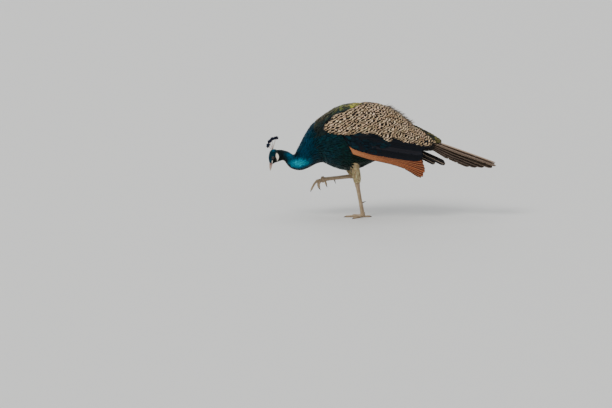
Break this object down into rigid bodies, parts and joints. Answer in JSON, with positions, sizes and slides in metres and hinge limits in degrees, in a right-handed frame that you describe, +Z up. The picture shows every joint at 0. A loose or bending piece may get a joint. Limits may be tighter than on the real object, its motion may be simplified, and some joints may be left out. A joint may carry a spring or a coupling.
{
  "type": "peacock",
  "caption": "Life-size still peacock without its train, walking with its head low to feed and one foot lifted.",
  "frame": {"origin": "on the floor, under the centre of the model's bounding box", "axes": "-X the way the bird faces, +Y its right side, +Z up"},
  "size_m": [0.9486, 0.2126, 0.4846],
  "materials": {
    "plumage_blue": "satin",
    "plumage_teal": "satin",
    "plumage_bronze": "satin",
    "plumage_barred": "matte",
    "plumage_dark": "satin",
    "plumage_rufous": "matte",
    "plumage_tail": "matte",
    "plumage_buff": "matte",
    "leg_skin": "matte",
    "bill_horn": "satin",
    "claw_horn": "satin",
    "eye": "gloss"
  },
  "bodies": {
    "root": {"head": "plumage_blue", "bill_upper": "bill_horn", "bill_lower": "bill_horn", "eye_l": "eye", "eye_r": "eye", "crest": "plumage_blue", "neck_upper": "plumage_blue", "neck_middle": "plumage_blue", "neck_lower": "plumage_blue", "breast": "plumage_teal", "belly": "plumage_teal", "rump": "plumage_bronze", "tail_coverts": "plumage_bronze", "wing_l_scapulars": "plumage_barred", "wing_l_tertials": "plumage_barred", "wing_l_secondaries": "plumage_dark", "wing_l_primaries": "plumage_rufous", "wing_r_scapulars": "plumage_barred", "wing_r_tertials": "plumage_barred", "wing_r_secondaries": "plumage_dark", "wing_r_primaries": "plumage_rufous", "tail_feather_centre": "plumage_tail", "tail_feather_l1": "plumage_tail", "tail_feather_r1": "plumage_tail", "tail_feather_l2": "plumage_tail", "tail_feather_r2": "plumage_tail", "tail_feather_l3": "plumage_tail", "tail_feather_r3": "plumage_tail", "tail_feather_l4": "plumage_tail", "tail_feather_r4": "plumage_tail", "tail_feather_l5": "plumage_tail", "tail_feather_r5": "plumage_tail", "tail_feather_l6": "plumage_tail", "tail_feather_r6": "plumage_tail", "tail_feather_l7": "plumage_tail", "tail_feather_r7": "plumage_tail", "thigh_l": "plumage_buff", "shank_l": "leg_skin", "spur_l": "claw_horn", "toe_l_middle": "leg_skin", "claw_l_middle": "claw_horn", "toe_l_inner": "leg_skin", "claw_l_inner": "claw_horn", "toe_l_outer": "leg_skin", "claw_l_outer": "claw_horn", "toe_l_hind": "leg_skin", "claw_l_hind": "claw_horn", "thigh_r": "plumage_buff", "shank_r": "leg_skin", "spur_r": "claw_horn", "toe_r_middle": "leg_skin", "claw_r_middle": "claw_horn", "toe_r_inner": "leg_skin", "claw_r_inner": "claw_horn", "toe_r_outer": "leg_skin", "claw_r_outer": "claw_horn", "toe_r_hind": "leg_skin", "claw_r_hind": "claw_horn"}
  },
  "joints": []
}
